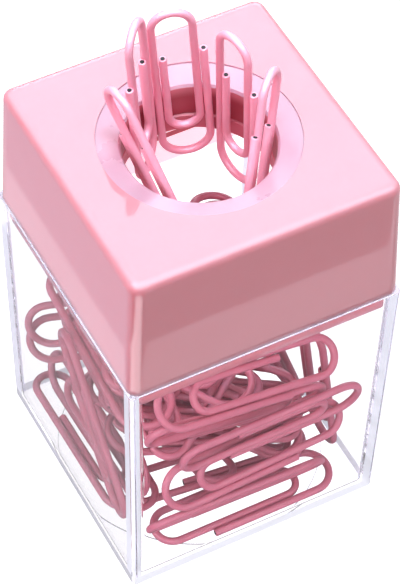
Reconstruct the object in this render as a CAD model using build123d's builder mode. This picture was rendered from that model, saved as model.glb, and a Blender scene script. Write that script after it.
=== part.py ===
from build123d import *

import os
from math import atan2, cos, degrees, pi, radians, sin, tan

import numpy as np

# Desk paper clip holder: a clear square box under a lift-off cap. A magnet ring round the cap's
# throat holds a few clips standing, and the rest lie in a loose pile on the box floor.
# The origin is the middle of the base, +Z is up, and all sizes are in millimetres and degrees.

# Clear box
BOX_BASE_WIDTH = 38.8
BOX_RIM_WIDTH = 40.4
BOX_HEIGHT = 44.4
BOX_WALL = 1.4
BOX_FLOOR = 1.2
BOX_EDGE = 0.6
BOX_INNER_EDGE = 0.8
FOOT_LAND = 0.7
FOOT_RECESS_DEPTH = 0.4

# Cap
RIM_STEP = 0.2
CAP_SIDE_TAPER = 0.65
CAP_HEIGHT = 20.6
CAP_WALL = 1.8
CAP_PLATE = 3.0
CAP_CORNER = 1.6
CAP_INNER_CORNER = 0.8
CAP_TOP_FILLET = 1.2
LIP_DEPTH = 3.2
LIP_WALL = 1.2
LIP_ROOT = 1.6
LIP_CLEARANCE = 0.2

# Throat ring, with a dished flange let into the top of the cap
THROAT_RADIUS = 10.2
THROAT_WALL = 1.3
FLANGE_RADIUS = 13.4
FLANGE_SEAT = 1.6
FLANGE_DROP_OUTER = 0.25
FLANGE_DROP_INNER = 1.1
THROAT_EDGE_CHAMFER = 0.3
FIT_CLEARANCE = 0.1

# Magnet ring and the retainer that closes its pocket
MAGNET_RADIUS = 15.4
MAGNET_THICKNESS = 3.5
POCKET_WALL = 1.2
RETAINER_THICKNESS = 2.9
THROAT_SEAM = 0.2
RETAINER_EDGE_CHAMFER = 0.3

# Wire clip, flat, with its lower bend at the origin and its length along +Y
CLIP_WIRE = 1.1
CLIP_LENGTH = 28.7
CLIP_TOP_WIDTH = 6.5
CLIP_LEG_GAP = 0.06
CLIP_INNER_BEND = 5.4
CLIP_OUTER_END = 20.0
CLIP_INNER_END = 19.2
STANDING_CHORDS = 8
STANDING_SIDES = 8
LOOSE_CHORDS = 4
LOOSE_SIDES = 6

# Standing clips: bearing round the throat, inset from its wall, length below mid throat,
# turn from facing the wall, lean towards the face it shows, and tilt along the wall
STANDING_CLIPS = {
    "standing_clip_left": (196, 3.2, 11.8, -7, -9, 30),
    "standing_clip_back_left": (123, 2.1, 5.4, -167, 2.5, 6),
    "standing_clip_back": (74.5, 1.5, 7.0, -2, 3, -5),
    "standing_clip_right": (22.5, 2.3, 9.6, -9, 4.5, 2.5),
    "standing_clip_front_right": (-48, 2.2, 12.0, -1.5, 2, -18.5),
}

# Loose pile: trial places and small settling moves of each clip as it falls
PILE_COUNT = 38
PILE_GROUP = 5
PILE_SEED = 17
PILE_TRIALS = 30
PILE_MOVES = 110
PILE_SHIFT = 2.0
PILE_SWING = 10.0
PILE_TILT = 32
PILE_GAP = 0.25
PILE_WALL_GAP = 0.4
PILE_WALL_SPACE = 2.4
PILE_RIGHT_SPACE = 1.5
PILE_CELL = 0.25
PILE_BEAD_PITCH = 0.8

# Loose clips that lie or lean along the walls, by their turn to fall: the middle's place as shares
# of the room each way from the centre, heading, tilt of the length and roll about the length
LEANING_CLIPS = {
    0: (0.04, -1, 90, 0, 176),
    1: (-0.03, -0.4, 84, 0, 4),
    2: (-1, 0.18, 0, -2, 10),
    3: (-0.09, -1, 90, 2, 62),
    4: (-1, -0.2, 0, 48, 84),
    5: (1, -0.5, 90, 82, 0),
    6: (0.06, -1, -90, 4, 64),
    7: (-0.79, 0.18, 180, 4, 78),
    8: (0.18, -1, 90, -1, 80),
    9: (0.9, 0.06, 90, 72, 10),
    14: (-0.46, 0.7, -112, 4, 60),
    21: (-0.4, 0.58, -119, 14, 72),
    23: (-0.1, -0.86, 90, 10, 70),
    30: (0, -0.93, -90, -8, 45),
}

# Sizes that follow from the ones above
BOX_DRAFT = degrees(atan2((BOX_RIM_WIDTH - BOX_BASE_WIDTH) / 2, BOX_HEIGHT))
CAP_DRAFT = degrees(atan2(CAP_SIDE_TAPER, CAP_HEIGHT))
CAP_BASE_WIDTH = BOX_RIM_WIDTH - 2 * RIM_STEP
CAP_TOP_WIDTH = CAP_BASE_WIDTH - 2 * CAP_SIDE_TAPER
CAP_TOP = BOX_HEIGHT + CAP_HEIGHT
BOX_FLOOR_WIDTH = BOX_BASE_WIDTH + 2 * BOX_FLOOR * tan(radians(BOX_DRAFT)) - 2 * BOX_WALL
BOX_MOUTH_WIDTH = BOX_RIM_WIDTH - 2 * BOX_WALL
CAP_ROOF_WIDTH = CAP_TOP_WIDTH + 2 * CAP_PLATE * tan(radians(CAP_DRAFT)) - 2 * CAP_WALL
LIP_BOTTOM = BOX_HEIGHT - LIP_DEPTH
LIP_BOTTOM_GAP = BOX_MOUTH_WIDTH - 2 * LIP_DEPTH * tan(radians(BOX_DRAFT))
LIP_WIDTH = LIP_BOTTOM_GAP - 2 * LIP_CLEARANCE
LIP_INNER_WIDTH = LIP_WIDTH - 2 * LIP_WALL
LIP_ROOT_WIDTH = max(LIP_WIDTH, CAP_BASE_WIDTH - CAP_WALL)
PLATE_UNDERSIDE = CAP_TOP - CAP_PLATE
MAGNET_BORE = THROAT_RADIUS + THROAT_WALL + 2 * FIT_CLEARANCE
MAGNET_BOTTOM = PLATE_UNDERSIDE - MAGNET_THICKNESS
POCKET_RADIUS = MAGNET_RADIUS + FIT_CLEARANCE
RETAINER_BOTTOM = MAGNET_BOTTOM - RETAINER_THICKNESS
THROAT_BOTTOM = MAGNET_BOTTOM + THROAT_SEAM
MID_THROAT = (CAP_TOP - FLANGE_DROP_INNER + RETAINER_BOTTOM) / 2

TOP_BEND = (CLIP_TOP_WIDTH - CLIP_WIRE) / 2
OUTER_BEND = TOP_BEND + (CLIP_WIRE + CLIP_LEG_GAP) / 2
INNER_BEND = TOP_BEND - (CLIP_WIRE + CLIP_LEG_GAP) / 2
CLIP_TOP = CLIP_LENGTH - CLIP_WIRE

os.makedirs("parts", exist_ok=True)


def half_turn(centre_x, centre_y, radius, start, chords):
    """Points of a half turn that starts at the angle given and runs anticlockwise."""
    angles = [start + pi * step / chords for step in range(chords + 1)]
    return [(centre_x + radius * cos(angle), centre_y + radius * sin(angle)) for angle in angles]


def clip_line(chords):
    """Centre line of a clip from the end inside its loops to the end outside them."""
    outer_x = -OUTER_BEND
    inner_x = outer_x + 2 * TOP_BEND
    tongue_x = inner_x - 2 * INNER_BEND
    points = [(tongue_x, CLIP_INNER_END)]
    points += half_turn(inner_x - INNER_BEND, CLIP_INNER_BEND + INNER_BEND, INNER_BEND, pi, chords)
    points += half_turn(outer_x + TOP_BEND, CLIP_TOP - TOP_BEND, TOP_BEND, 0, chords)
    points += half_turn(0, OUTER_BEND, OUTER_BEND, pi, chords)
    points += [(OUTER_BEND, CLIP_OUTER_END)]
    return points


def clip_beads():
    """Points along a clip's centre line, close together, about the middle of the clip."""
    corners = np.array(clip_line(STANDING_CHORDS))
    beads = []
    for start, end in zip(corners[:-1], corners[1:]):
        steps = max(1, round(np.linalg.norm(end - start) / PILE_BEAD_PITCH))
        beads += [start + (end - start) * step / steps for step in range(steps)]
    beads.append(corners[-1])
    flat = np.array(beads) - (0, CLIP_TOP / 2)
    return np.column_stack([flat, np.zeros(len(flat))])


def turned(heading, tilt, roll):
    """Rotation that rolls a clip about its length, tilts its length up, then heads it round."""
    ch, sh, ct, st, cr, sr = (f(radians(a)) for a in (heading, tilt, roll) for f in (cos, sin))
    about_length = np.array([[cr, 0, sr], [0, 1, 0], [-sr, 0, cr]])
    about_width = np.array([[1, 0, 0], [0, ct, -st], [0, st, ct]])
    about_up = np.array([[ch, -sh, 0], [sh, ch, 0], [0, 0, 1]])
    return about_up @ about_width @ about_length


def drop_pile():
    """Middle points and rotations of the loose clips, each settled as low as its moves find."""
    rng = np.random.default_rng(PILE_SEED)
    beads = clip_beads()
    reach = CLIP_WIRE + PILE_GAP
    half = BOX_FLOOR_WIDTH / 2
    room = half - CLIP_WIRE / 2 - PILE_WALL_GAP
    cells = int(2 * half / PILE_CELL) + 1
    ground = np.full((cells, cells), BOX_FLOOR + (CLIP_WIRE + PILE_GAP) / 2)
    stride = int(reach / PILE_CELL) + 1
    near = [(i, j) for i in range(-stride, stride + 1) for j in range(-stride, stride + 1)]
    move_size = np.array([PILE_SHIFT, PILE_SHIFT, PILE_SWING, PILE_SWING, PILE_SWING])
    places = []
    for number in range(PILE_COUNT):
        leaning = LEANING_CLIPS.get(number)
        wall_space, right_space = (0, 0) if leaning else (PILE_WALL_SPACE, PILE_RIGHT_SPACE)
        lowest = float("inf")
        for move in range(1) if leaning else range(-PILE_TRIALS, PILE_MOVES):
            if leaning:
                pose = np.array(leaning) * (room, room, 1, 1, 1)
            elif move < 0 or lowest == float("inf"):
                tilt, roll = rng.uniform(-PILE_TILT, PILE_TILT, 2)
                pose = np.array([*rng.uniform(-room, room, 2), rng.uniform(0, 360), tilt, roll])
            else:
                pose = settled_pose + rng.normal(0, 1, 5) * move_size * (1 - move / PILE_MOVES)
                pose[3] = np.clip(pose[3], -PILE_TILT, PILE_TILT)
            frame = turned(*pose[2:])
            shape = beads @ frame.T
            least = wall_space - room - shape[:, :2].min(axis=0)
            most = room - shape[:, :2].max(axis=0) - (right_space, 0)
            if (least > most).any():
                continue
            pose[:2] = np.clip(pose[:2], least, most)
            column, row = np.round((shape[:, :2] + pose[:2] + half) / PILE_CELL).astype(int).T
            height = (ground[column, row] - shape[:, 2]).max()
            if height < lowest:
                lowest = height
                settled_pose = pose
        frame = turned(*settled_pose[2:])
        middle = np.append(settled_pose[:2], lowest)
        places.append((middle, frame))
        wire = beads @ frame.T + middle
        column, row = np.round((wire[:, :2] + half) / PILE_CELL).astype(int).T
        for i, j in near:
            side = np.clip(column + i, 0, cells - 1)
            ahead = np.clip(row + j, 0, cells - 1)
            apart = np.hypot(side * PILE_CELL - half - wire[:, 0], ahead * PILE_CELL - half - wire[:, 1])
            under = apart < reach
            over = wire[under, 2] + np.sqrt(reach**2 - apart[under] ** 2)
            np.maximum.at(ground, (side[under], ahead[under]), over)
    return places


# Clear box: drafted walls, a thin floor, and a round recess under it that leaves the corners as feet
with BuildPart() as clear_box:
    with BuildSketch(Plane.XY):
        RectangleRounded(BOX_BASE_WIDTH, BOX_BASE_WIDTH, BOX_EDGE)
    with BuildSketch(Plane.XY.offset(BOX_HEIGHT)):
        RectangleRounded(BOX_RIM_WIDTH, BOX_RIM_WIDTH, BOX_EDGE)
    loft(ruled=True)
    with BuildSketch(Plane.XY.offset(BOX_FLOOR)):
        RectangleRounded(BOX_FLOOR_WIDTH, BOX_FLOOR_WIDTH, BOX_INNER_EDGE)
    with BuildSketch(Plane.XY.offset(BOX_HEIGHT)):
        RectangleRounded(BOX_MOUTH_WIDTH, BOX_MOUTH_WIDTH, BOX_INNER_EDGE)
    loft(ruled=True, mode=Mode.SUBTRACT)
    with BuildSketch(Plane.XY):
        Circle(BOX_BASE_WIDTH / 2 - FOOT_LAND)
    extrude(amount=FOOT_RECESS_DEPTH, mode=Mode.SUBTRACT)
clear_box.part.label = "clear_box"
export_step(clear_box.part, "parts/clear_box.step")

# Cap shell: drafted and hollow, with a lip that drops inside the box rim, a seat for the throat
# ring in its top plate and a round pocket wall for the magnet under it
with BuildPart() as cap_shell:
    with BuildSketch(Plane.XY.offset(BOX_HEIGHT)):
        Rectangle(CAP_BASE_WIDTH, CAP_BASE_WIDTH)
    extrude(amount=CAP_HEIGHT, taper=CAP_DRAFT)
    fillet(cap_shell.edges().group_by(Axis.Z)[1], CAP_CORNER)
    fillet(cap_shell.faces().sort_by(Axis.Z)[-1].edges(), CAP_TOP_FILLET)
    with BuildSketch(Plane.XY.offset(BOX_HEIGHT)):
        RectangleRounded(CAP_BASE_WIDTH - 2 * CAP_WALL, CAP_BASE_WIDTH - 2 * CAP_WALL, CAP_INNER_CORNER)
    with BuildSketch(Plane.XY.offset(PLATE_UNDERSIDE)):
        RectangleRounded(CAP_ROOF_WIDTH, CAP_ROOF_WIDTH, CAP_INNER_CORNER)
    loft(ruled=True, mode=Mode.SUBTRACT)
    with BuildSketch(Plane.XY.offset(LIP_BOTTOM)):
        RectangleRounded(LIP_WIDTH, LIP_WIDTH, BOX_INNER_EDGE)
        RectangleRounded(LIP_INNER_WIDTH, LIP_INNER_WIDTH, BOX_EDGE, mode=Mode.SUBTRACT)
    extrude(amount=LIP_DEPTH + LIP_ROOT)
    with BuildSketch(Plane.XY.offset(BOX_HEIGHT)):
        RectangleRounded(LIP_ROOT_WIDTH, LIP_ROOT_WIDTH, CAP_INNER_CORNER)
        RectangleRounded(LIP_INNER_WIDTH, LIP_INNER_WIDTH, BOX_EDGE, mode=Mode.SUBTRACT)
    extrude(amount=LIP_ROOT)
    with BuildSketch(Plane.XY.offset(RETAINER_BOTTOM)):
        Circle(POCKET_RADIUS + POCKET_WALL)
        Circle(POCKET_RADIUS, mode=Mode.SUBTRACT)
    extrude(amount=PLATE_UNDERSIDE - RETAINER_BOTTOM)
    with Locations((0, 0, CAP_TOP)):
        CounterBoreHole(
            radius=THROAT_RADIUS + THROAT_WALL + FIT_CLEARANCE,
            counter_bore_radius=FLANGE_RADIUS + FIT_CLEARANCE,
            counter_bore_depth=FLANGE_SEAT,
            depth=CAP_PLATE,
        )
cap_shell.part.label = "cap_shell"
export_step(cap_shell.part, "parts/cap_shell.step")

# Throat ring: dished flange on the cap's seat, and a tube down through the magnet
with BuildPart() as throat_ring:
    with BuildSketch(Plane.XZ) as profile:
        with BuildLine():
            Polyline(
                (THROAT_RADIUS, THROAT_BOTTOM),
                (THROAT_RADIUS + THROAT_WALL, THROAT_BOTTOM),
                (THROAT_RADIUS + THROAT_WALL, CAP_TOP - FLANGE_SEAT),
                (FLANGE_RADIUS, CAP_TOP - FLANGE_SEAT),
                (FLANGE_RADIUS, CAP_TOP - FLANGE_DROP_OUTER),
                (THROAT_RADIUS, CAP_TOP - FLANGE_DROP_INNER),
                close=True,
            )
        make_face()
        mouth = profile.vertices().group_by(Axis.X)[0].sort_by(Axis.Y)[-1]
        chamfer(mouth, THROAT_EDGE_CHAMFER)
    revolve(axis=Axis.Z)
throat_ring.part.label = "throat_ring"
export_step(throat_ring.part, "parts/throat_ring.step")

# Magnet ring, flat against the underside of the cap's top plate
with BuildPart() as ring_magnet:
    with BuildSketch(Plane.XY.offset(MAGNET_BOTTOM)):
        Circle(MAGNET_RADIUS)
        Circle(MAGNET_BORE, mode=Mode.SUBTRACT)
    extrude(amount=MAGNET_THICKNESS)
ring_magnet.part.label = "ring_magnet"
export_step(ring_magnet.part, "parts/ring_magnet.step")

# Retainer ring: closes the magnet's pocket and carries the throat's wall on downwards
with BuildPart() as magnet_retainer:
    with BuildSketch(Plane.XY.offset(RETAINER_BOTTOM)):
        Circle(MAGNET_RADIUS)
        Circle(THROAT_RADIUS, mode=Mode.SUBTRACT)
    extrude(amount=RETAINER_THICKNESS)
    rims = magnet_retainer.edges().filter_by(GeomType.CIRCLE).group_by(SortBy.RADIUS)[0]
    chamfer(rims, RETAINER_EDGE_CHAMFER)
magnet_retainer.part.label = "magnet_retainer"
export_step(magnet_retainer.part, "parts/magnet_retainer.step")

# Clips held standing round the throat
for name, (bearing, inset, below, turn, lean, tilt) in STANDING_CLIPS.items():
    radius = THROAT_RADIUS - inset
    held = Pos(radius * cos(radians(bearing)), radius * sin(radians(bearing)), MID_THROAT)
    faced = Rot(0, 0, bearing - 90 + turn) * Rot(lean, 0, 0) * Rot(0, tilt, 0) * Rot(90, 0, 0)
    clip_plane = Plane(held * faced * Pos(0, -below, 0))
    line = clip_line(STANDING_CHORDS)
    with BuildPart(clip_plane) as standing_clip:
        with BuildLine(clip_plane) as wire:
            Polyline(*line)
        with BuildSketch(Plane(origin=wire.line @ 0, z_dir=wire.line % 0)):
            RegularPolygon(CLIP_WIRE / 2, STANDING_SIDES)
        sweep(path=wire.line, transition=Transition.RIGHT)
    standing_clip.part.label = name
    export_step(standing_clip.part, f"parts/{name}.step")

# One plain clip, copied for every place in the loose pile
with BuildPart() as loose_clip:
    with BuildLine(Plane.XY) as wire:
        Polyline(*clip_line(LOOSE_CHORDS))
    with BuildSketch(Plane(origin=wire.line @ 0, z_dir=wire.line % 0)):
        RegularPolygon(CLIP_WIRE / 2, LOOSE_SIDES)
    sweep(path=wire.line, transition=Transition.RIGHT)

pile = drop_pile()
for number, first in enumerate(range(0, PILE_COUNT, PILE_GROUP), start=1):
    group = []
    for middle, frame in pile[first : first + PILE_GROUP]:
        spot = Plane(origin=tuple(middle), x_dir=tuple(frame[:, 0]), z_dir=tuple(frame[:, 2]))
        group.append(loose_clip.part.solid().moved(spot.location * Pos(0, -CLIP_TOP / 2, 0)))
    loose_clips = Compound(children=group, label=f"loose_clips_{number}")
    export_step(loose_clips, f"parts/loose_clips_{number}.step")
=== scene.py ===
import math

import bpy
import numpy as np
from mathutils import Matrix, Vector


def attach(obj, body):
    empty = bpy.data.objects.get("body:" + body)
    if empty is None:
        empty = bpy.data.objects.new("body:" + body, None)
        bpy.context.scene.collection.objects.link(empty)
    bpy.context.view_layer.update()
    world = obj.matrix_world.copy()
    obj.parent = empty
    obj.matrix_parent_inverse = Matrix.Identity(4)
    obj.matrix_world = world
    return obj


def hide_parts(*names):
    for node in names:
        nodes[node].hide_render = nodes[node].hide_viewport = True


MM = 0.001
LEVEL = Vector((1, 1, 0))

# Wire clip, in millimetres, as the CAD model has it
CLIP_WIRE = 1.1
CLIP_LENGTH = 28.7
CLIP_TOP_WIDTH = 6.5
CLIP_LEG_GAP = 0.06
CLIP_INNER_BEND = 5.4
CLIP_OUTER_END = 20.0
CLIP_INNER_END = 19.2

# Chords to a bend and sides to the wire, for the CAD model's clips and for the smooth ones
STANDING_CHORDS = 8
STANDING_SIDES = 8
LOOSE_CHORDS = 4
LOOSE_SIDES = 6
BEND_STEPS = 20
WIRE_SIDES = 16
WIRE_SHARP_ANGLE = 50

# Cut end of a smooth wire, in millimetres, with shares of its rounding and of its core's radius
END_ROUNDING = 0.1
ROUNDING_SHARE = 0.3
CORE_RADIUS = 0.29
CORE_GAP = 0.03
CORE_GROOVE = 0.04
CORE_STANDS = 0.03
CORE_CROWN = 0.01
CROWN_SHARE = 0.6
CORE_RINGS = 2

# Clear box, in millimetres, as the CAD model has it, with the small roundings of a moulding
BOX_BASE_WIDTH = 38.8
BOX_RIM_WIDTH = 40.4
BOX_HEIGHT = 44.4
BOX_WALL = 1.4
BOX_FLOOR = 1.2
BOX_EDGE = 0.6
BOX_INNER_EDGE = 0.8
FOOT_LAND = 0.7
FOOT_RECESS_DEPTH = 0.4
BASE_ROUNDING = 0.25
RIM_ROUNDING = 0.15
FLOOR_FILLET = 0.4
RECESS_ROUNDING = 0.1
MOULDING_SHARP_ANGLE = 40

# Strips at the start and end of each wall, in millimetres, and the strip along the base; their plastic is
# painted pale and glowing, painted light for what the clear walls guide to their edges
EDGE_STRIPS = {"back": (1.3, 1.3), "left": (1.8, 1.4), "front": (0.6, 1.3), "right": (1.3, 1.3)}
LEFT_SIDE = list(EDGE_STRIPS).index("left")
BASE_STRIP = 1.9
BASE_LINE = 2
ROUND_STEPS = 6
SIDE_STEPS = 36

# Throat ring and the seam round its flange, in millimetres
THROAT_RADIUS = 10.2
SEAT_RADIUS = 13.5
SEAM_RADIUS = 13.45
SEAM_HEIGHT = 64.7
SEAM_BEAD = 0.07
SEAM_STEPS = 144
SEAM_SIDES = 8
# Painted light at the throat's mouth: how far below the top it stays at full strength, and how far it then
# fades into painted shade
MOUTH_LIGHT_DROP = 1.1
MOUTH_LIGHT_FADE = 2.0

# Faces that look towards the middle: how squarely those of a bore do, and how far out the cap's walls start
BORE_FACING = -0.9
INSIDE_REACH = 16.5

# Detail and roughness of the noise in colour, in gloss and in bumps
COLOUR_GRAIN = (4, 0.55)
GLOSS_GRAIN = (5, 0.6)
BUMP_GRAIN = (3, 0.5)
COLOUR_STOPS = (0.3, 0.7)
BEVEL_SAMPLES = 8
CLEAR_IOR = 1.25
STRIP_TRANSMISSION = 0.2
SOAK_COLOUR = (0.72, 0.66, 0.86, 1)
SOAK_DENSITY = 4.0

# Camera, in millimetres, degrees and pixels of the 400 x 586 picture, with its reach in metres
PICTURE_HEIGHT = 586
FOCAL_PIXELS = 2700
SENSOR = 36.0
VIEW_AZIMUTH = -29.1
VIEW_ELEVATION = 50.37
VIEW_ROLL = 1.64
VIEW_DISTANCE = 370.8
VIEW_ASIDE = (0.62, -1.03)
LOOK_AT = Vector((0, 0, 35))
VIEW_REACH = (0.01, 20)
LIGHT_BOUNCES = 128

# Table, in millimetres: its glow as seen, as seen through clear plastic, and the shares that light things
TABLE_REACH = 3000
TABLE_DROP = 0.02
TABLE_GLOW = 1.25
TABLE_THROUGH = 1.4
TABLE_SHARE = 0.245
TABLE_INSIDE = 0.05
# Its colour after no, one and two glossy bounces
TABLE_STEPS = [(1.0, 0.99, 1.0, 1), (0.2, 0.2, 0.21, 1), (0.9, 0.87, 1.0, 1)]

# Sky: its strength inside the clear box, from the side to the front, at the back, and in reflections there
SKY_INSIDE = (0.0, 6.2)
SKY_BEHIND = 2.5
SKY_BEHIND_SPAN = (-0.2, -1.0)
SKY_GLOSS = (0.0, 3.0)
SKY_FRONT = (-0.45, -0.75, 0.49)
SKY_COLOUR = (0.5, 0.495, 0.515, 1)
UNDER_COLOUR = (0.2, 0.2, 0.21, 1)
HORIZON = 0.02

# Cards on the table: west, south, east and north in millimetres, and their glow
CARDS = [
    ("front_strip", (-21, -63.8, 400, -51), (2.2, 2.1, 2.25, 1)),
    ("front_apron", (-21, -400, 400, -63.8), (1.1, 1.1, 1.15, 1)),
    ("left_foot", (-33, -21, -21, 400), (0.3, 0.3, 0.32, 1)),
    ("left_strip", (-42, -21, -37.5, 400), (1.55, 1.55, 1.8, 1)),
    ("left_apron", (-400, -21, -42, 400), (1.05, 1.05, 1.3, 1)),
    ("right_strip", (50, -51, 58, 50), (1.7, 1.65, 1.75, 1)),
    ("right_apron", (58, -51, 400, 50), (1.1, 1.1, 1.15, 1)),
    ("back_strip", (-37.5, 50, 400, 58), (1.7, 1.65, 1.75, 1)),
    ("back_apron", (-37.5, 58, 400, 400), (1.1, 1.1, 1.15, 1)),
    ("corner_card", (-70, -90, -21, -21), (5.0, 5.0, 5.2, 1)),
]

# Bands of the dome: lower and upper tilt and first and last bearing in degrees, and their glow
DOME_RADIUS = 1500
DOME_STEPS = 32
DOME_COLOUR = (0.9, 0.93, 1.08, 1)
DOME_BANDS = [
    ("rim_dome", (6, 16), (0, 360), 1.0),
    ("side_dome", (16, 30), (80, 402), 2.5),
    ("far_dome", (16, 30), (42, 80), 10.0),
    ("low_dome", (30, 40), (0, 360), 4.0),
    ("middle_dome", (40, 68), (-29, 151), 6.0),
    ("near_dome", (40, 68), (151, 331), 11.0),
    ("high_dome", (68, 90), (0, 360), 9.0),
]

# Lamps: place, target and size in millimetres, watts and colour
LAMPS = [
    ("top_lamp", (-80, -220, 700), (0, 0, 60), (500, 400), 2.3, (1.0, 0.97, 1.0)),
    ("overhead_lamp", (0, 0, 900), (0, 0, 60), (250, 250), 6.6, (0.55, 1.06, 1.2)),
    ("left_lamp", (-520, 60, 260), (0, 0, 40), (300, 400), 1.4, (1.0, 0.96, 1.0)),
    ("back_lamp", (430, 470, 190), (0, 0, 45), (400, 300), 1.6, (1.0, 0.97, 1.0)),
]


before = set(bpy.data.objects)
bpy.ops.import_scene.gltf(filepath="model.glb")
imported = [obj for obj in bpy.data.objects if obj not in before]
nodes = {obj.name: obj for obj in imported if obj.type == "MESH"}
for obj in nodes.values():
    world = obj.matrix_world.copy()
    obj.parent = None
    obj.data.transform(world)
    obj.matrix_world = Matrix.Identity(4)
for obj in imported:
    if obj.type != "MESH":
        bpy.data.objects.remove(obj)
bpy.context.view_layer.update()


# Meshes


def new_mesh(name, points, faces):
    """Mesh from points in millimetres."""
    mesh = bpy.data.meshes.new(name)
    mesh.from_pydata((np.array(points) * MM).tolist(), [], faces)
    return mesh


def new_object(name, data):
    """Object in the scene."""
    made = bpy.data.objects.new(name, data)
    bpy.context.scene.collection.objects.link(made)
    return made


def band(low, high, count):
    """Faces between two rings of points that start at the numbers given."""
    return [(low + i, high + i, high + (i + 1) % count, low + (i + 1) % count) for i in range(count)]


def set_finishes(mesh, numbers):
    """Number of the material on each face."""
    mesh.polygons.foreach_set("material_index", np.array(numbers, dtype=np.int32))


def piece(name, points, faces, finish, body):
    """Moulded piece from points in millimetres that rides on a body."""
    mesh = new_mesh(name, points, faces)
    mesh.materials.append(finish)
    mesh.shade_smooth()
    mesh.set_sharp_from_angle(angle=math.radians(MOULDING_SHARP_ANGLE))
    made = new_object(name, mesh)
    made.modifiers.new("flat walls", "WEIGHTED_NORMAL").keep_sharp = True
    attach(made, body)
    return made


# Wire clips


def clip_path(steps):
    """Centre line of a clip in its own plane: its points, from the inner end to the outer end."""
    top = (CLIP_TOP_WIDTH - CLIP_WIRE) / 2
    outer = top + (CLIP_WIRE + CLIP_LEG_GAP) / 2
    inner = top - (CLIP_WIRE + CLIP_LEG_GAP) / 2
    top_y = CLIP_LENGTH - CLIP_WIRE - top
    bends = [
        (0, CLIP_INNER_BEND + inner, inner, math.pi),
        (top - outer, top_y, top, 0),
        (0, outer, outer, math.pi),
    ]
    points = [(-inner, CLIP_INNER_END)]
    for x, y, radius, start in bends:
        for step in range(steps + 1):
            angle = start + math.pi * step / steps
            points.append((x + radius * math.cos(angle), y + radius * math.sin(angle)))
    points.append((outer, CLIP_OUTER_END))
    return np.array(points)


def path_sides(points):
    """Tangents and sideways directions along a flat path, and how far a mitre stretches each corner."""
    runs = np.diff(points, axis=0)
    runs /= np.linalg.norm(runs, axis=1)[:, None]
    tangents = np.vstack([runs[:1], runs[:-1] + runs[1:], runs[-1:]])
    lengths = np.linalg.norm(tangents, axis=1)
    tangents /= lengths[:, None]
    stretch = np.ones(len(points))
    stretch[1:-1] = 2 / lengths[1:-1]
    sides = np.column_stack([tangents[:, 1], -tangents[:, 0]])
    return tangents, sides, stretch


def ring(centre, side, radius, count, stretch=1.0):
    """Points round a wire that lies in the clip's plane."""
    angles = np.arange(count) * 2 * math.pi / count
    flat = centre + np.outer(np.cos(angles) * radius * stretch, side)
    return np.column_stack([flat, np.sin(angles) * radius])


def clip_template(steps, count):
    """Corner points of the CAD model's plain clip, in its own frame."""
    points = clip_path(steps)
    _, sides, stretch = path_sides(points)
    rings = [ring(p, s, CLIP_WIRE / 2, count, k) for p, s, k in zip(points, sides, stretch)]
    return np.vstack(rings)


def principal_frame(points):
    """Middle and axes of a set of points, with the axes' senses set by where the points lean."""
    middle = points.mean(axis=0)
    spread = points - middle
    axes = np.linalg.eigh(spread.T @ spread)[1].T[::-1]
    senses = np.sign(((spread @ axes.T) ** 3).sum(axis=0))
    length = axes[0] * senses[0]
    width = axes[1] * senses[1]
    return middle, np.array([length, width, np.cross(length, width)])


def islands(obj):
    """Corner points of each separate solid of a CAD node, in millimetres."""
    mesh = obj.data
    corners = np.array([v.co for v in mesh.vertices]) / MM
    unique, where = np.unique(np.round(corners, 4), axis=0, return_inverse=True)
    where = where.ravel()
    label = np.arange(len(unique))
    faces = np.array([[where[i] for i in p.vertices] for p in mesh.polygons])
    settled = False
    while not settled:
        least = label[faces].min(axis=1)
        before = label.copy()
        for column in faces.T:
            np.minimum.at(label, column, least)
        settled = (before == label).all()
    return [unique[label == k] for k in np.unique(label)]


def wire_mesh():
    """Points and faces of one smooth clip in its own frame, and which faces are the steel of its cut ends."""
    path = clip_path(BEND_STEPS)
    tangents, sides, _ = path_sides(path)
    radius = CLIP_WIRE / 2
    shoulder = ROUNDING_SHARE * END_ROUNDING
    profile = [
        (-END_ROUNDING, radius),
        (-shoulder, radius - shoulder),
        (0, radius - END_ROUNDING),
        (0, CORE_RADIUS + CORE_GAP),
        (-CORE_GROOVE, CORE_RADIUS),
        (CORE_STANDS, CORE_RADIUS),
        (CORE_STANDS + CORE_CROWN, CROWN_SHARE * CORE_RADIUS),
    ]
    start = [
        ring(path[0] - tangents[0] * along, sides[0], r, WIRE_SIDES) for along, r in reversed(profile)
    ]
    middle = [ring(p, s, radius, WIRE_SIDES) for p, s in zip(path[1:-1], sides[1:-1])]
    end = [ring(path[-1] + tangents[-1] * along, sides[-1], r, WIRE_SIDES) for along, r in profile]
    rings = start + middle + end
    last = len(rings) - 1
    faces = []
    steel = []
    for k in range(last):
        faces += band(k * WIRE_SIDES, (k + 1) * WIRE_SIDES, WIRE_SIDES)
        steel += [k < CORE_RINGS or k >= last - CORE_RINGS] * WIRE_SIDES
    faces.append(tuple(range(WIRE_SIDES)))
    faces.append(tuple(last * WIRE_SIDES + i for i in reversed(range(WIRE_SIDES))))
    steel += [True, True]
    return np.vstack(rings), faces, steel


def make_wires(name, node, template, body, coat):
    """Smooth wire clips in place of a CAD node's plain ones."""
    points, faces, steel = wire_mesh()
    home, home_axes = principal_frame(template)
    all_points = []
    all_faces = []
    for solid in islands(nodes[node]):
        place, axes = principal_frame(solid)
        turned = (points - home) @ home_axes.T @ axes + place
        shift = len(points) * len(all_points)
        all_faces += [tuple(i + shift for i in face) for face in faces]
        all_points.append(turned)
    mesh = new_mesh(name, np.vstack(all_points), all_faces)
    mesh.materials.append(wire_coats[coat])
    mesh.materials.append(steel_core)
    set_finishes(mesh, steel * len(all_points))
    mesh.shade_smooth()
    mesh.set_sharp_from_angle(angle=math.radians(WIRE_SHARP_ANGLE))
    wires = new_object(name, mesh)
    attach(wires, body)
    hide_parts(node)


# Clear box


def quarter_turn():
    """Angles of a rounding, from 0 to 90 degrees."""
    return [math.pi / 2 * step / ROUND_STEPS for step in range(ROUND_STEPS + 1)]


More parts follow.
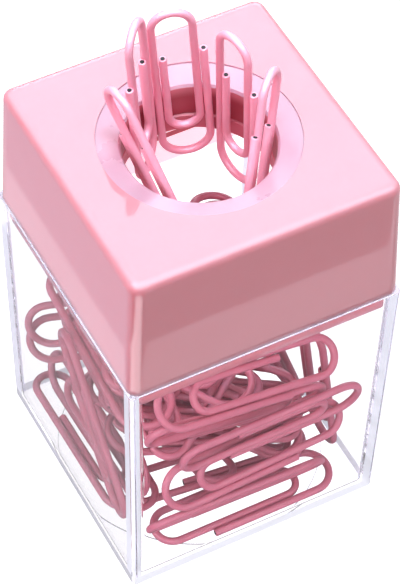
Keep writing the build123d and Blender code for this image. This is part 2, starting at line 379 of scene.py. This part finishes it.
def rounded_square(width, radius, height):
    """Points round a square with rounded corners, with more along each side."""
    reach = width / 2 - radius
    points = []
    for corner, (start, end) in enumerate(EDGE_STRIPS.values()):
        c, s = math.cos(corner * math.pi / 2), math.sin(corner * math.pi / 2)
        local = [(reach + radius * math.cos(a), reach + radius * math.sin(a)) for a in quarter_turn()]
        span = 2 * reach - start - end
        local += [(reach - start - span * k / SIDE_STEPS, reach + radius) for k in range(SIDE_STEPS + 1)]
        points += [(x * c - y * s, x * s + y * c, height) for x, y in local]
    return points


def circle_under(points, radius, height):
    """Points of a circle, each on the bearing of one of the points given."""
    spans = [math.hypot(x, y) for x, y, _ in points]
    return [(radius * x / k, radius * y / k, height) for (x, y, _), k in zip(points, spans)]


def box_rings():
    """Rings round the box and the finish above each, from the foot recess over the rim to the floor."""
    slope = (BOX_RIM_WIDTH - BOX_BASE_WIDTH) / BOX_HEIGHT
    turns = quarter_turn()
    foot = rounded_square(BOX_BASE_WIDTH - 2 * BASE_ROUNDING, BOX_EDGE, 0)
    recess = BOX_BASE_WIDTH / 2 - FOOT_LAND
    rings = [(circle_under(foot, recess, FOOT_RECESS_DEPTH), "edge")]

    def add_square(z, inset, corner, finish):
        rings.append((rounded_square(BOX_BASE_WIDTH + slope * z - 2 * inset, corner, z), finish))

    for a in turns:
        rise = RECESS_ROUNDING * (1 - math.sin(a))
        finish = "wall" if a == turns[-1] else "edge"
        rings.append((circle_under(foot, recess + RECESS_ROUNDING * (1 - math.cos(a)), rise), finish))
    for step, a in enumerate(turns):
        finish = "edge" if step < BASE_LINE else "strip"
        add_square(BASE_ROUNDING * (1 - math.cos(a)), BASE_ROUNDING * (1 - math.sin(a)), BOX_EDGE, finish)
    add_square(BASE_STRIP, 0, BOX_EDGE, "side")
    for a in turns:
        z = BOX_HEIGHT - RIM_ROUNDING * (1 - math.sin(a))
        add_square(z, RIM_ROUNDING * (1 - math.cos(a)), BOX_EDGE, "wall")
    for a in reversed(turns):
        z = BOX_HEIGHT - RIM_ROUNDING * (1 - math.sin(a))
        add_square(z, BOX_WALL - RIM_ROUNDING * (1 - math.cos(a)), BOX_INNER_EDGE, "wall")
    for a in turns:
        z = BOX_FLOOR + FLOOR_FILLET * (1 - math.sin(a))
        finish = "wall" if a == turns[-1] else "edge"
        add_square(z, BOX_WALL + FLOOR_FILLET * (1 - math.cos(a)), BOX_INNER_EDGE, finish)
    return rings


def box_look(finish, side, place, last):
    """Plastic of one face of the box, from its ring's finish and its place along a side."""
    # The left wall's strips take darker copies of the glowing strip plastic: painted shade for that side
    shaded = side == LEFT_SIDE and place >= ROUND_STEPS
    if finish == "strip":
        return "foot" if shaded else "strip"
    if finish != "side":
        return finish
    if place in (0, ROUND_STEPS - 1):
        return "edge"
    if place <= ROUND_STEPS or place == last:
        return "shade" if shaded else "strip"
    return "wall"


def make_box():
    """Clear box with rounded edges in place of the CAD model's plain one."""
    plastics = {
        "wall": clear_plastic,
        "edge": edge_plastic,
        "strip": strip_plastic,
        "shade": shade_plastic,
        "foot": foot_shade_plastic,
    }
    rings = box_rings()
    count = len(rings[0][0])
    side_count = count // len(EDGE_STRIPS)
    points = [p for ring_points, _ in rings for p in ring_points]
    faces = [tuple(reversed(range(count)))]
    looks = ["wall"]
    for k, (_, finish) in enumerate(rings[:-1]):
        low = k * count
        high = low + count
        for i in range(count):
            j = (i + 1) % count
            faces.append((low + i, low + j, high + j, high + i))
            looks.append(box_look(finish, *divmod(i, side_count), side_count - 1))
    faces.append(tuple((len(rings) - 1) * count + i for i in range(count)))
    looks.append("wall")
    box = piece("box_moulding", points, faces, clear_plastic, "box")
    for plastic in list(plastics.values())[1:]:
        box.data.materials.append(plastic)
    numbers = {look: number for number, look in enumerate(plastics)}
    set_finishes(box.data, [numbers[look] for look in looks])
    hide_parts("clear_box")


# Cap and throat ring


def make_seam():
    """Bead that closes the seam round the throat ring's flange."""
    points = []
    faces = []
    for step in range(SEAM_STEPS):
        angle = 2 * math.pi * step / SEAM_STEPS
        for side in range(SEAM_SIDES):
            turn = 2 * math.pi * side / SEAM_SIDES
            radius = SEAM_RADIUS + SEAM_BEAD * math.cos(turn)
            height = SEAM_HEIGHT + SEAM_BEAD * math.sin(turn)
            points.append((radius * math.cos(angle), radius * math.sin(angle), height))
        faces += band(step * SEAM_SIDES, (step + 1) % SEAM_STEPS * SEAM_SIDES, SEAM_SIDES)
    piece("flange_seam", points, faces, ring_plastic, "cap")


def add_finish(mesh, finish, chosen):
    """One more finish on a CAD node, on the faces that are chosen."""
    mesh.materials.append(finish)
    for face in mesh.polygons:
        if chosen(face):
            face.material_index = len(mesh.materials) - 1


def lines_bore(radius):
    """Test for the faces that line a bore of this radius."""

    def chosen(face):
        outward = face.center * LEVEL
        inwards = face.normal.dot(outward.normalized()) < BORE_FACING
        return inwards and abs(outward.length / MM - radius) < SEAM_BEAD

    return chosen


def lines_cap(face):
    """Test for the faces of the cap's inner walls."""
    return face.normal.dot(face.center * LEVEL) < -INSIDE_REACH * MM


# Parts of materials


def material(name, **sockets):
    """Principled material with the values given; returns it, its nodes and its shader."""
    made = bpy.data.materials.new(name)
    made.use_nodes = True
    shader = made.node_tree.nodes["Principled BSDF"]
    for socket, value in sockets.items():
        shader.inputs[socket.replace("_", " ")].default_value = value
    return made, made.node_tree, shader


def noise(tree, scale, detail, rough):
    """Noise in the object's own frame."""
    place = tree.nodes.new("ShaderNodeTexCoord")
    grain = tree.nodes.new("ShaderNodeTexNoise")
    grain.inputs["Scale"].default_value = scale
    grain.inputs["Detail"].default_value = detail
    grain.inputs["Roughness"].default_value = rough
    tree.links.new(place.outputs["Object"], grain.inputs["Vector"])
    return grain


def vary_colour(tree, shader, scale, low, high):
    """Base colour that drifts between two close shades."""
    grain = noise(tree, scale, *COLOUR_GRAIN)
    ramp = tree.nodes.new("ShaderNodeValToRGB")
    for stop, position, colour in zip(ramp.color_ramp.elements, COLOUR_STOPS, (low, high)):
        stop.position = position
        stop.color = colour
    tree.links.new(grain.outputs["Fac"], ramp.inputs["Fac"])
    tree.links.new(ramp.outputs["Color"], shader.inputs["Base Color"])


def painted_shade_down(tree, shader, top, deep_shade, lit):
    """Base colour that grows darker downwards, below a mouth whose top is at a height in metres: painted
    light near the mouth, painted shade further down.
    """
    place = tree.nodes.new("ShaderNodeTexCoord")
    split = tree.nodes.new("ShaderNodeSeparateXYZ")
    span = tree.nodes.new("ShaderNodeMapRange")
    span.interpolation_type = "SMOOTHSTEP"
    span.inputs["From Min"].default_value = top - (MOUTH_LIGHT_DROP + MOUTH_LIGHT_FADE) * MM
    span.inputs["From Max"].default_value = top - MOUTH_LIGHT_DROP * MM
    ramp = tree.nodes.new("ShaderNodeValToRGB")
    ramp.color_ramp.elements[0].color = deep_shade
    ramp.color_ramp.elements[1].color = lit
    tree.links.new(place.outputs["Object"], split.inputs["Vector"])
    tree.links.new(split.outputs["Z"], span.inputs["Value"])
    tree.links.new(span.outputs["Result"], ramp.inputs["Fac"])
    tree.links.new(ramp.outputs["Color"], shader.inputs["Base Color"])


def vary_roughness(tree, shader, scale, low, high):
    """Roughness that drifts between two values."""
    grain = noise(tree, scale, *GLOSS_GRAIN)
    span = tree.nodes.new("ShaderNodeMapRange")
    span.inputs["To Min"].default_value = low
    span.inputs["To Max"].default_value = high
    tree.links.new(grain.outputs["Fac"], span.inputs["Value"])
    tree.links.new(span.outputs["Result"], shader.inputs["Roughness"])


def soft_edges(tree, rounding):
    """Normal that turns softly round the outer edges, away from the seat of the throat ring."""
    bevel = tree.nodes.new("ShaderNodeBevel")
    bevel.samples = BEVEL_SAMPLES
    bevel.inputs["Radius"].default_value = rounding * MM
    place = tree.nodes.new("ShaderNodeTexCoord")
    level = tree.nodes.new("ShaderNodeVectorMath")
    level.operation = "MULTIPLY"
    level.inputs[1].default_value = LEVEL
    reach = tree.nodes.new("ShaderNodeVectorMath")
    reach.operation = "LENGTH"
    outside = tree.nodes.new("ShaderNodeMapRange")
    outside.inputs["From Min"].default_value = (SEAT_RADIUS + rounding) * MM
    outside.inputs["From Max"].default_value = (SEAT_RADIUS + 2 * rounding) * MM
    plain = tree.nodes.new("ShaderNodeNewGeometry")
    blend = tree.nodes.new("ShaderNodeMix")
    blend.data_type = "VECTOR"
    tree.links.new(place.outputs["Object"], level.inputs[0])
    tree.links.new(level.outputs["Vector"], reach.inputs[0])
    tree.links.new(reach.outputs["Value"], outside.inputs["Value"])
    tree.links.new(outside.outputs["Result"], blend.inputs["Factor"])
    tree.links.new(plain.outputs["Normal"], blend.inputs["A"])
    tree.links.new(bevel.outputs["Normal"], blend.inputs["B"])
    return blend.outputs["Result"]


def bumps(tree, shader, scale, height, rounding=0):
    """Fine unevenness of a surface, and the softness of its edges; both are in millimetres."""
    grain = noise(tree, scale, *BUMP_GRAIN)
    bump = tree.nodes.new("ShaderNodeBump")
    bump.inputs["Strength"].default_value = 1.0
    bump.inputs["Distance"].default_value = height * MM
    tree.links.new(grain.outputs["Fac"], bump.inputs["Height"])
    if rounding:
        tree.links.new(soft_edges(tree, rounding), bump.inputs["Normal"])
    tree.links.new(bump.outputs["Normal"], shader.inputs["Normal"])


def soaked(tree):
    """Faint lilac that clear plastic takes on over a long way through it."""
    soak = tree.nodes.new("ShaderNodeVolumeAbsorption")
    soak.inputs["Color"].default_value = SOAK_COLOUR
    soak.inputs["Density"].default_value = SOAK_DENSITY
    tree.links.new(soak.outputs["Volume"], tree.nodes["Material Output"].inputs["Volume"])


def coated_wire(name, low, high):
    """Plastic coat of a wire clip."""
    made, tree, shader = material(
        name,
        IOR=1.6,
        Subsurface_Weight=0.15,
        Subsurface_Radius=(1.0, 0.4, 0.45),
        Subsurface_Scale=0.5 * MM,
    )
    vary_colour(tree, shader, 250, low, high)
    vary_roughness(tree, shader, 700, 0.26, 0.4)
    bumps(tree, shader, 1600, 0.006)
    return made


def glowing_strip_plastic(name, base, glow, strength):
    """Strip of the clear box, painted pale and glowing: painted light that stands in for the light which its
    wall guides to the edge.
    """
    made, tree, shader = material(
        name,
        Base_Color=base,
        IOR=CLEAR_IOR,
        Transmission_Weight=STRIP_TRANSMISSION,
        Emission_Color=glow,
        Emission_Strength=strength,
    )
    vary_roughness(tree, shader, 40, 0.1, 0.2)
    soaked(tree)
    return made


# Materials

cap_plastic, tree, shader = material(
    "cap_plastic",
    IOR=1.5,
    Subsurface_Weight=0.35,
    Subsurface_Radius=(1.0, 0.45, 0.45),
    Subsurface_Scale=2.5 * MM,
)
vary_colour(tree, shader, 60, (0.68, 0.22, 0.258, 1), (0.7, 0.232, 0.27, 1))
vary_roughness(tree, shader, 90, 0.03, 0.06)
bumps(tree, shader, 500, 0.002, 1.4)

ring_plastic, tree, shader = material(
    "ring_plastic",
    IOR=1.5,
    Subsurface_Weight=0.3,
    Subsurface_Radius=(1.0, 0.5, 0.6),
    Subsurface_Scale=2.0 * MM,
)
vary_colour(tree, shader, 70, (0.54, 0.245, 0.315, 1), (0.57, 0.265, 0.335, 1))
vary_roughness(tree, shader, 90, 0.24, 0.32)
bumps(tree, shader, 500, 0.0015)

retainer_plastic, tree, shader = material("retainer_plastic", IOR=1.5)
vary_colour(tree, shader, 70, (0.62, 0.13, 0.18, 1), (0.66, 0.145, 0.195, 1))
vary_roughness(tree, shader, 120, 0.3, 0.4)
bumps(tree, shader, 900, 0.004)

# Bore of the throat ring: darker than the ring's own pink as painted shade, and lighter near the mouth as
# painted light from above
throat_shade_plastic, tree, shader = material("throat_shade_plastic", IOR=1.45)
throat_top = max(v.co.z for v in nodes["throat_ring"].data.vertices)
painted_shade_down(tree, shader, throat_top, (0.4, 0.05, 0.075, 1), (0.68, 0.2, 0.25, 1))
vary_roughness(tree, shader, 120, 0.35, 0.45)
bumps(tree, shader, 900, 0.003)

# Pale plastic that glows, on the cap's inner walls: painted light, so the inside of the cap looks lit
painted_glow_plastic, tree, shader = material(
    "painted_glow_plastic",
    IOR=1.5,
    Emission_Color=(0.95, 0.8, 0.87, 1),
    Emission_Strength=0.6,
)
vary_colour(tree, shader, 60, (0.86, 0.7, 0.76, 1), (0.88, 0.72, 0.78, 1))
vary_roughness(tree, shader, 90, 0.3, 0.4)
bumps(tree, shader, 500, 0.002)

ferrite, tree, shader = material("ferrite", IOR=1.9)
vary_colour(tree, shader, 800, (0.028, 0.027, 0.028, 1), (0.055, 0.053, 0.053, 1))
vary_roughness(tree, shader, 900, 0.5, 0.7)
bumps(tree, shader, 1500, 0.01)

# One coat in a lit and a shaded copy: the pale one on the standing clips is painted light for the light that
# falls on them above the cap; the darker one goes on the loose clips in the box
wire_coats = {
    name: coated_wire(name, low, high)
    for name, low, high in (
        ("coated_wire", (0.53, 0.138, 0.2, 1), (0.58, 0.158, 0.22, 1)),
        ("coated_wire_pale", (0.88, 0.33, 0.44, 1), (0.92, 0.36, 0.47, 1)),
    )
}

steel_core, tree, shader = material("steel_core", Specular_IOR_Level=0.2)
vary_colour(tree, shader, 3000, (0.006, 0.005, 0.005, 1), (0.015, 0.012, 0.012, 1))
vary_roughness(tree, shader, 3000, 0.45, 0.6)

clear_plastic, tree, shader = material(
    "clear_plastic",
    Base_Color=(0.985, 0.98, 0.995, 1),
    IOR=CLEAR_IOR,
    Transmission_Weight=1.0,
)
vary_roughness(tree, shader, 40, 0.0, 0.03)
bumps(tree, shader, 60, 0.004)
soaked(tree)

edge_plastic, tree, shader = material(
    "edge_plastic",
    Base_Color=(0.95, 0.94, 0.985, 1),
    IOR=1.45,
    Transmission_Weight=1.0,
)
vary_roughness(tree, shader, 40, 0.0, 0.03)
soaked(tree)

# Strip plastic: pale and glowing, painted light for the light that the clear walls guide to their edges
strip_plastic = glowing_strip_plastic("strip_plastic", (0.93, 0.92, 1.0, 1), (0.9, 0.9, 0.98, 1), 0.28)
# Darker copies for the left wall: painted shade on its corner strips (shade) and on its base strip (foot)
shade_plastic = glowing_strip_plastic("shade_plastic", (0.66, 0.65, 0.74, 1), (0.9, 0.9, 1.0, 1), 0.34)
foot_shade_plastic = glowing_strip_plastic("foot_shade_plastic", (0.6, 0.59, 0.66, 1), (0.9, 0.9, 1.0, 1), 0.1)


# The object

finishes = {
    "clear_box": clear_plastic,
    "cap_shell": cap_plastic,
    "throat_ring": ring_plastic,
    "ring_magnet": ferrite,
    "magnet_retainer": retainer_plastic,
}
for node, finish in finishes.items():
    nodes[node].data.materials.clear()
    nodes[node].data.materials.append(finish)
make_box()
make_seam()
# The throat ring's bore takes the plastic with painted shade and painted light
add_finish(nodes["throat_ring"].data, throat_shade_plastic, lines_bore(THROAT_RADIUS))
add_finish(nodes["cap_shell"].data, ring_plastic, lines_bore(SEAT_RADIUS))
# The cap's inner walls take the glowing plastic, which is painted light
add_finish(nodes["cap_shell"].data, painted_glow_plastic, lines_cap)

standing_template = clip_template(STANDING_CHORDS, STANDING_SIDES)
for node in sorted(n for n in nodes if n.startswith("standing_clip_")):
    # Standing clips take the pale copy of the coat, which is painted light
    make_wires(node.replace("clip", "wire"), node, standing_template, node, "coated_wire_pale")
loose_template = clip_template(LOOSE_CHORDS, LOOSE_SIDES)
for node in sorted(n for n in nodes if n.startswith("loose_clips_")):
    make_wires(node.replace("clips", "wires"), node, loose_template, "box", "coated_wire")


# Studio: a glowing white table, soft lamps, and cards and a dome that only reflections see


def stage_mesh(name, points, faces):
    """Stage piece from points in millimetres."""
    made = new_object(name, new_mesh(name, points, faces))
    return made


def flat_card(west, south, east, north, height):
    """Points and face of a level rectangle."""
    corners = ((west, south), (east, south), (east, north), (west, north))
    return [(x, y, height) for x, y in corners], [(0, 1, 2, 3)]


def dome_band(tilts, start, end):
    """Points and faces of a band of the dome, from angles in degrees."""
    points = []
    for tilt in tilts:
        height = DOME_RADIUS * math.sin(math.radians(tilt))
        spread = DOME_RADIUS * math.cos(math.radians(tilt))
        for step in range(DOME_STEPS + 1):
            angle = math.radians(start + (end - start) * step / DOME_STEPS)
            points.append((spread * math.cos(angle), spread * math.sin(angle), height))
    above = DOME_STEPS + 1
    return points, [(i, i + 1, above + i + 1, above + i) for i in range(DOME_STEPS)]


def reflection_card(name, points, faces, colour, strength):
    """Glowing card that only shows in glossy reflections."""
    card = stage_mesh(name, points, faces)
    glow, _, _ = material(
        name,
        Base_Color=(0, 0, 0, 1),
        Specular_IOR_Level=0,
        Emission_Color=colour,
        Emission_Strength=strength,
    )
    card.data.materials.append(glow)
    card.visible_camera = False
    card.visible_diffuse = False
    card.visible_transmission = False
    card.visible_volume_scatter = False
    card.visible_shadow = False


def area_light(name, centre, target, size, power, colour):
    """Soft light at a place, in millimetres, that faces a target."""
    lamp = bpy.data.lights.new(name, "AREA")
    lamp.shape = "RECTANGLE"
    lamp.size = size[0] * MM
    lamp.size_y = size[1] * MM
    lamp.energy = power
    lamp.color = colour
    light = new_object(name, lamp)
    light.location = Vector(centre) * MM
    light.rotation_mode = "QUATERNION"
    light.rotation_quaternion = (Vector(target) - Vector(centre)).to_track_quat("-Z", "Y")
    light.visible_glossy = False


def blend_by(tree, measure, first, last, start=0.0, end=1.0):
    """Value that goes from first to last as a measure goes from start to end; both may be sockets."""
    choice = tree.nodes.new("ShaderNodeMapRange")
    choice.inputs["From Min"].default_value = start
    choice.inputs["From Max"].default_value = end
    tree.links.new(measure, choice.inputs["Value"])
    for socket, value in (("To Min", first), ("To Max", last)):
        if isinstance(value, float):
            choice.inputs[socket].default_value = value
        else:
            tree.links.new(value, choice.inputs[socket])
    return choice.outputs["Result"]


def colour_by_gloss(tree, bounces):
    """Colour of the table after each number of glossy bounces."""
    count = len(TABLE_STEPS) - 1
    past_gloss = tree.nodes.new("ShaderNodeMapRange")
    past_gloss.inputs["From Max"].default_value = count
    tree.links.new(bounces, past_gloss.inputs["Value"])
    steps = tree.nodes.new("ShaderNodeValToRGB")
    stops = steps.color_ramp.elements
    steps.color_ramp.interpolation = "CONSTANT"
    stops[0].color = TABLE_STEPS[0]
    for number, colour in enumerate(TABLE_STEPS[1:], 1):
        stops.new((number - 0.5) / count).color = colour
    stops.remove(stops[-1])
    tree.links.new(past_gloss.outputs["Result"], steps.inputs["Fac"])
    return steps.outputs["Color"]


def make_table():
    """White table that glows, less for the light that it gives than for how it looks."""
    white, tree, shader = material("floor_white", Roughness=0.9, Specular_IOR_Level=0.1)
    vary_colour(tree, shader, 4, (0.045, 0.045, 0.047, 1), (0.05, 0.05, 0.052, 1))
    bounces = tree.nodes.new("ShaderNodeLightPath").outputs
    tree.links.new(colour_by_gloss(tree, bounces["Glossy Depth"]), shader.inputs["Emission Color"])
    through = bounces["Transmission Depth"]
    lights = blend_by(tree, through, TABLE_GLOW * TABLE_SHARE, TABLE_GLOW * TABLE_INSIDE)
    shown = blend_by(tree, through, TABLE_GLOW, TABLE_THROUGH)
    glow = blend_by(tree, bounces["Diffuse Depth"], shown, lights)
    tree.links.new(glow, shader.inputs["Emission Strength"])
    square = flat_card(-TABLE_REACH, -TABLE_REACH, TABLE_REACH, TABLE_REACH, -TABLE_DROP)
    floor = stage_mesh("floor", *square)
    floor.data.materials.append(white)
    floor.visible_glossy = False


def make_sky():
    """Pale sky, with a strength of its own for the light inside the clear box."""
    world = bpy.data.worlds.new("studio")
    bpy.context.scene.world = world
    world.use_nodes = True
    tree = world.node_tree
    sky = tree.nodes["Background"]
    bounces = tree.nodes.new("ShaderNodeLightPath").outputs
    direction = tree.nodes.new("ShaderNodeTexCoord").outputs["Generated"]
    facing = tree.nodes.new("ShaderNodeVectorMath")
    facing.operation = "DOT_PRODUCT"
    facing.inputs[1].default_value = SKY_FRONT
    tree.links.new(direction, facing.inputs[0])
    ahead = facing.outputs["Value"]
    behind = blend_by(tree, ahead, SKY_INSIDE[0], SKY_BEHIND, *SKY_BEHIND_SPAN)
    inside = blend_by(tree, ahead, behind, SKY_INSIDE[1])
    glossed = blend_by(tree, ahead, *SKY_GLOSS)
    seen = blend_by(tree, bounces["Glossy Depth"], 1.0, glossed)
    boxed = blend_by(tree, bounces["Diffuse Depth"], seen, inside)
    share = blend_by(tree, bounces["Transmission Depth"], 1.0, boxed)
    tree.links.new(share, sky.inputs["Strength"])
    split = tree.nodes.new("ShaderNodeSeparateXYZ")
    ramp = tree.nodes.new("ShaderNodeValToRGB")
    ramp.color_ramp.elements[0].color = UNDER_COLOUR
    ramp.color_ramp.elements[1].position = HORIZON
    ramp.color_ramp.elements[1].color = SKY_COLOUR
    tree.links.new(direction, split.inputs["Vector"])
    tree.links.new(split.outputs["Z"], ramp.inputs["Fac"])
    tree.links.new(ramp.outputs["Color"], sky.inputs["Color"])


def make_camera():
    """Camera at the photograph's place."""
    azimuth = math.radians(VIEW_AZIMUTH)
    elevation = math.radians(VIEW_ELEVATION)
    roll = math.radians(VIEW_ROLL)
    back = Vector(
        (
            math.sin(azimuth) * math.cos(elevation),
            -math.cos(azimuth) * math.cos(elevation),
            math.sin(elevation),
        )
    )
    level = (-back).cross(Vector((0, 0, 1))).normalized()
    upright = level.cross(-back)
    right = math.cos(roll) * level + math.sin(roll) * upright
    up = math.cos(roll) * upright - math.sin(roll) * level
    eye = LOOK_AT + right * VIEW_ASIDE[0] + up * VIEW_ASIDE[1] + back * VIEW_DISTANCE
    lens = bpy.data.cameras.new("camera")
    lens.sensor_width = SENSOR
    lens.lens = FOCAL_PIXELS * SENSOR / PICTURE_HEIGHT
    lens.clip_start, lens.clip_end = VIEW_REACH
    camera = new_object("camera", lens)
    turn = Matrix((right, up, back)).transposed().to_4x4()
    camera.matrix_world = Matrix.Translation(eye * MM) @ turn
    bpy.context.scene.camera = camera


make_table()
for name, sides, glow in CARDS:
    reflection_card(name, *flat_card(*sides, 0), glow, 1.0)
for name, tilts, bearings, glow in DOME_BANDS:
    reflection_card(name, *dome_band(tilts, *bearings), DOME_COLOUR, glow)
make_sky()
for lamp in LAMPS:
    area_light(*lamp)
make_camera()
bpy.context.scene.view_settings.view_transform = "Standard"
paths = bpy.context.scene.cycles
paths.max_bounces = LIGHT_BOUNCES
paths.glossy_bounces = LIGHT_BOUNCES
paths.transmission_bounces = LIGHT_BOUNCES
